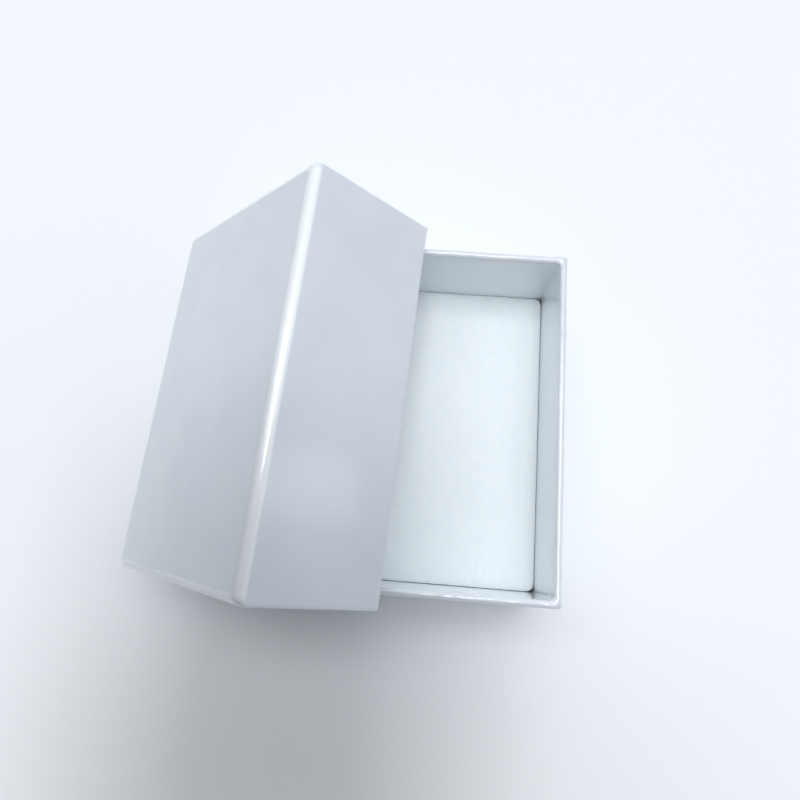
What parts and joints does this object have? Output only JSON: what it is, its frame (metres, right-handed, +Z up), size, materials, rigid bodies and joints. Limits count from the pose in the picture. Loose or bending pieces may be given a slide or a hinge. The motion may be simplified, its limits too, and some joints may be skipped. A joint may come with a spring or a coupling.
{
  "type": "jewelry gift box",
  "caption": "Small rigid white paperboard box, open, with a soft pad in its tray and its lift-off lid leaning over one wall.",
  "frame": {"origin": "centre of the tray's underside, on the surface that the box stands on", "axes": "+Z up, +X across the tray's width and away from the leaning lid, +Y along the tray's length towards its back wall"},
  "size_m": [0.0964, 0.0848, 0.06],
  "materials": {
    "greyboard": "matte",
    "gloss_wrap_paper": "gloss",
    "liner_paper": "satin",
    "stay_tape": "matte",
    "pad_foam": "matte",
    "pad_nonwoven": "matte"
  },
  "bodies": {
    "tray": {"tray_board": "greyboard", "tray_wrap": "gloss_wrap_paper", "tray_liner": "liner_paper", "tray_stay_front_left": "stay_tape", "tray_stay_front_right": "stay_tape", "tray_stay_back_left": "stay_tape", "tray_stay_back_right": "stay_tape"},
    "pad": {"pad_foam": "pad_foam", "pad_cover": "pad_nonwoven"},
    "lid": {"lid_board": "greyboard", "lid_wrap": "gloss_wrap_paper", "lid_liner": "liner_paper", "lid_stay_front_left": "stay_tape", "lid_stay_front_right": "stay_tape", "lid_stay_back_left": "stay_tape", "lid_stay_back_right": "stay_tape"}
  },
  "joints": [
    {"name": "lid_lift", "type": "slide", "parent": "tray", "child": "lid", "axis": [0, 0, 1], "range_m": [0, 0.07]},
    {"name": "pad_lift", "type": "slide", "parent": "tray", "child": "pad", "axis": [0, 0, 1], "range_m": [0, 0.027]}
  ]
}
